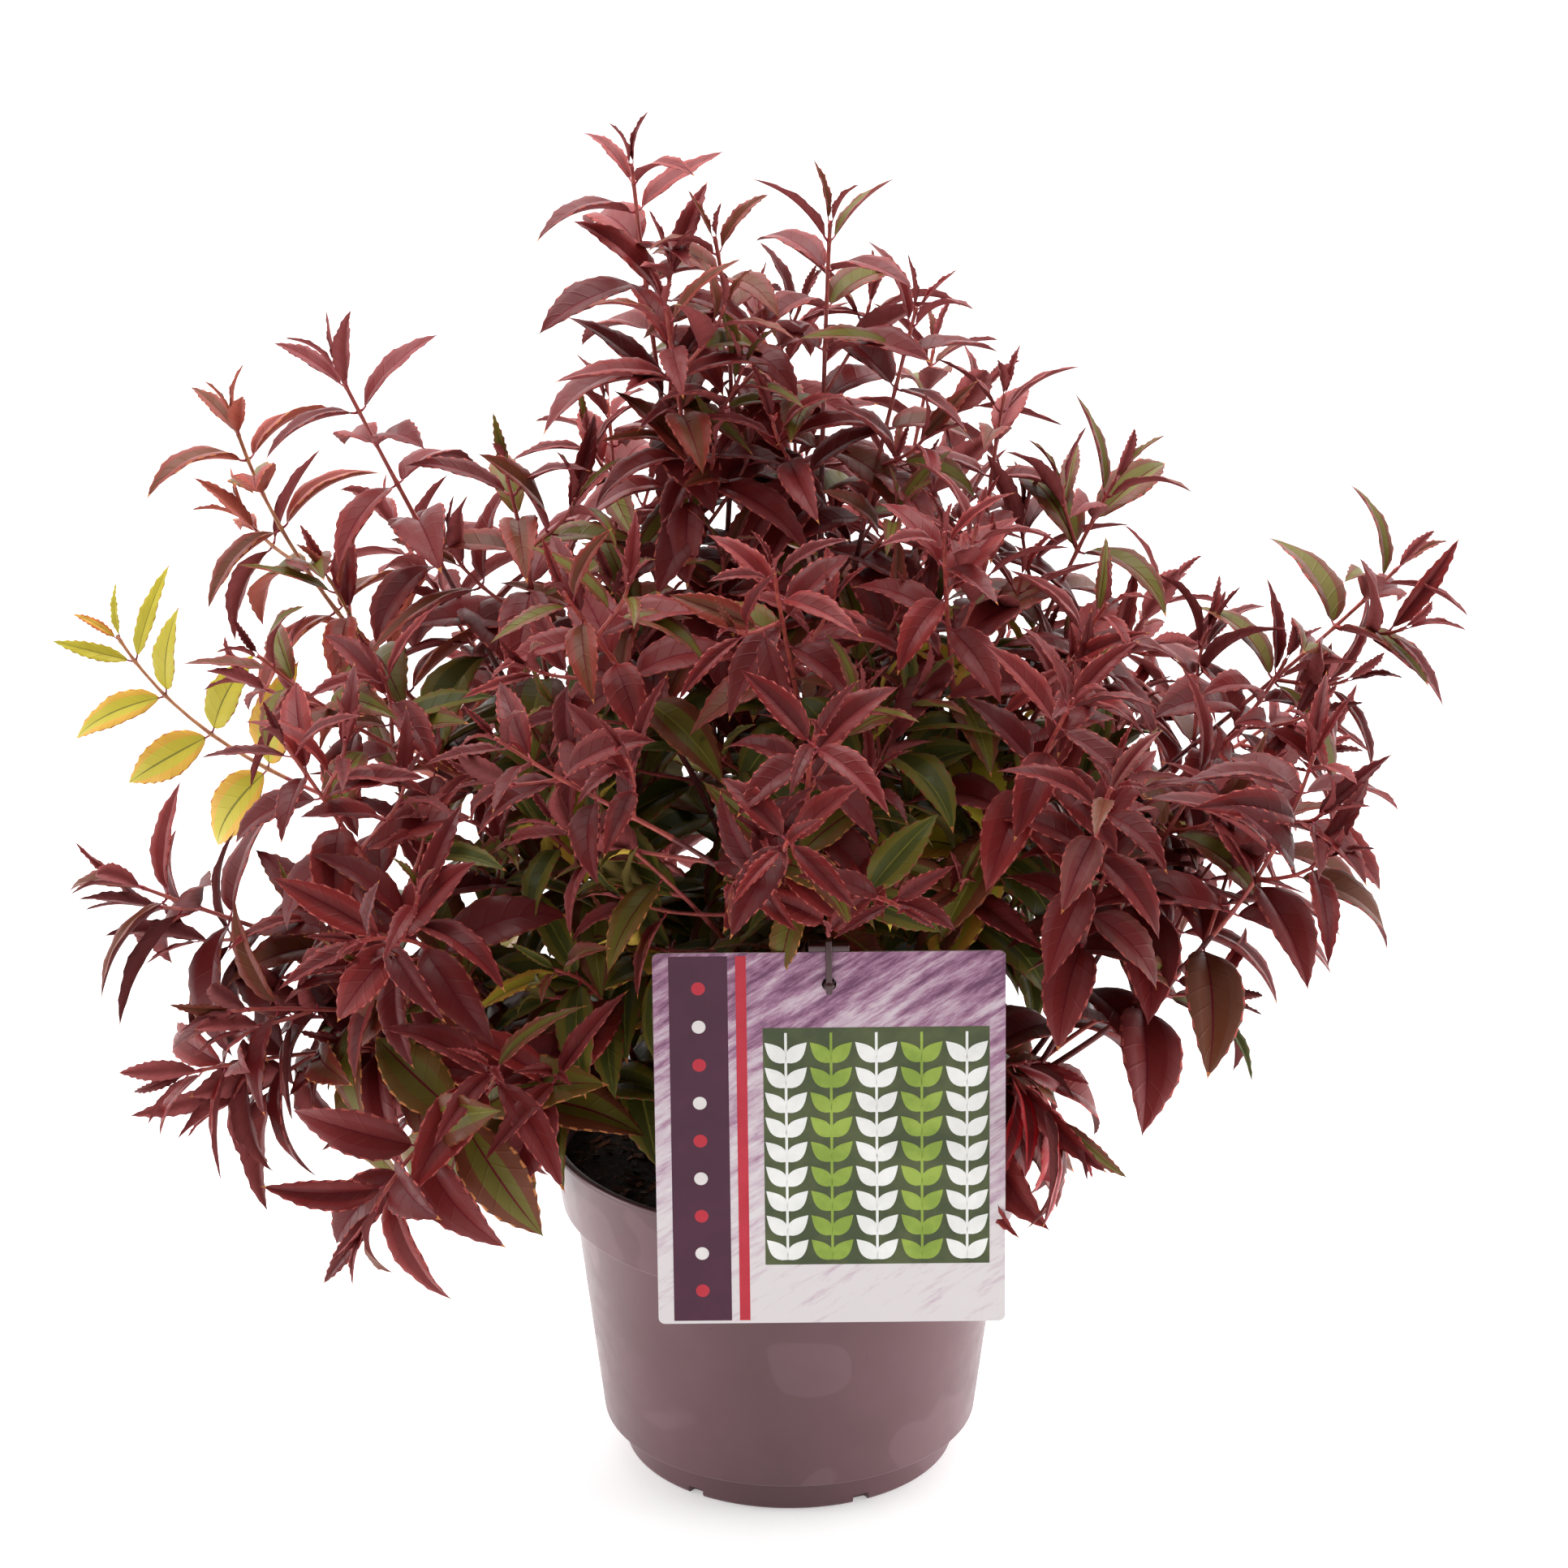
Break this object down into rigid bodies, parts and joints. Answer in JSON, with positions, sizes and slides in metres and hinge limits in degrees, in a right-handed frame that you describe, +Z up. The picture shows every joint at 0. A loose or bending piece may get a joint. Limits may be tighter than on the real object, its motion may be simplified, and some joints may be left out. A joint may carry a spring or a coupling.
{
  "type": "potted flowering shrub",
  "caption": "Bushy potted garden shrub with thin arching stems, narrow pointed wine-red leaves in pairs, a round taupe nursery pot and a plain picture tag on a stake.",
  "frame": {"origin": "middle of the pot's flat underside", "axes": "+Z up; the front, where the tag hangs, faces -Y; +X is to the right as seen from the front"},
  "size_m": [0.5683, 0.428, 0.5424],
  "materials": {
    "pot_plastic": "smooth, softly glossy taupe",
    "soil": "dark loose bark compost",
    "tag_card": "coated card, satin",
    "tag_holder": "moulded plastic, satin",
    "bark": "thin reddish brown bark",
    "leaf_wine": "soft matte leaf, burgundy",
    "leaf_crimson": "soft matte leaf, crimson",
    "leaf_olive": "soft matte leaf, olive green",
    "leaf_gold": "soft matte leaf, yellow-green",
    "leaf_rust": "soft matte leaf, orange-red"
  },
  "bodies": {
    "root": {"pot": "pot_plastic", "soil": "soil", "tag_card": "tag_card", "tag_holder": "tag_holder", "cane_top_left": "bark", "cane_top_right": "bark", "cane_upper_right": "bark", "cane_upper_left": "bark", "cane_left": "bark", "cane_right_arch": "bark", "cane_front": "bark", "cane_back": "bark", "cane_back_left": "bark", "mass_top_left": "leaf_wine", "mass_top_right": "leaf_wine", "mass_upper_right": "leaf_wine", "mass_upper_left": "leaf_wine", "mass_left": "leaf_wine", "mass_right_arch": "leaf_wine", "mass_front": "leaf_wine", "mass_back": "leaf_wine", "mass_back_left": "leaf_wine", "mass_far_left": "leaf_rust", "mass_right_high": "leaf_wine", "mass_back_right": "leaf_wine", "mass_top_left_side": "leaf_wine", "mass_top_left_front": "leaf_wine", "mass_middle_left": "leaf_wine", "mass_top_right_side": "leaf_wine", "mass_middle_front": "leaf_wine", "mass_middle_right": "leaf_wine", "mass_upper_right_side": "leaf_wine", "mass_upper_right_front": "leaf_wine", "mass_upper_left_side": "leaf_wine", "mass_left_front_high": "leaf_wine", "mass_left_front": "leaf_wine", "mass_left_front_low": "leaf_wine", "mass_left_low": "leaf_wine", "mass_left_hanging": "leaf_wine", "mass_left_rim": "leaf_olive", "mass_left_yellow": "leaf_gold", "mass_front_left": "leaf_wine", "mass_front_low": "leaf_wine", "mass_front_low_right": "leaf_wine", "mass_front_right": "leaf_wine", "mass_right_front": "leaf_wine", "mass_right_inner": "leaf_wine", "mass_right_middle": "leaf_wine", "mass_right_low": "leaf_wine", "mass_right_rim": "leaf_crimson", "mass_right_back": "leaf_wine", "mass_back_top": "leaf_wine", "mass_back_top_left": "leaf_wine", "mass_back_middle": "leaf_wine", "mass_back_low_right": "leaf_olive", "mass_back_low_left": "leaf_olive", "mass_inner_left": "leaf_wine", "mass_inner_front_left": "leaf_wine", "mass_left_under": "leaf_wine", "mass_centre": "leaf_wine"}
  },
  "joints": []
}
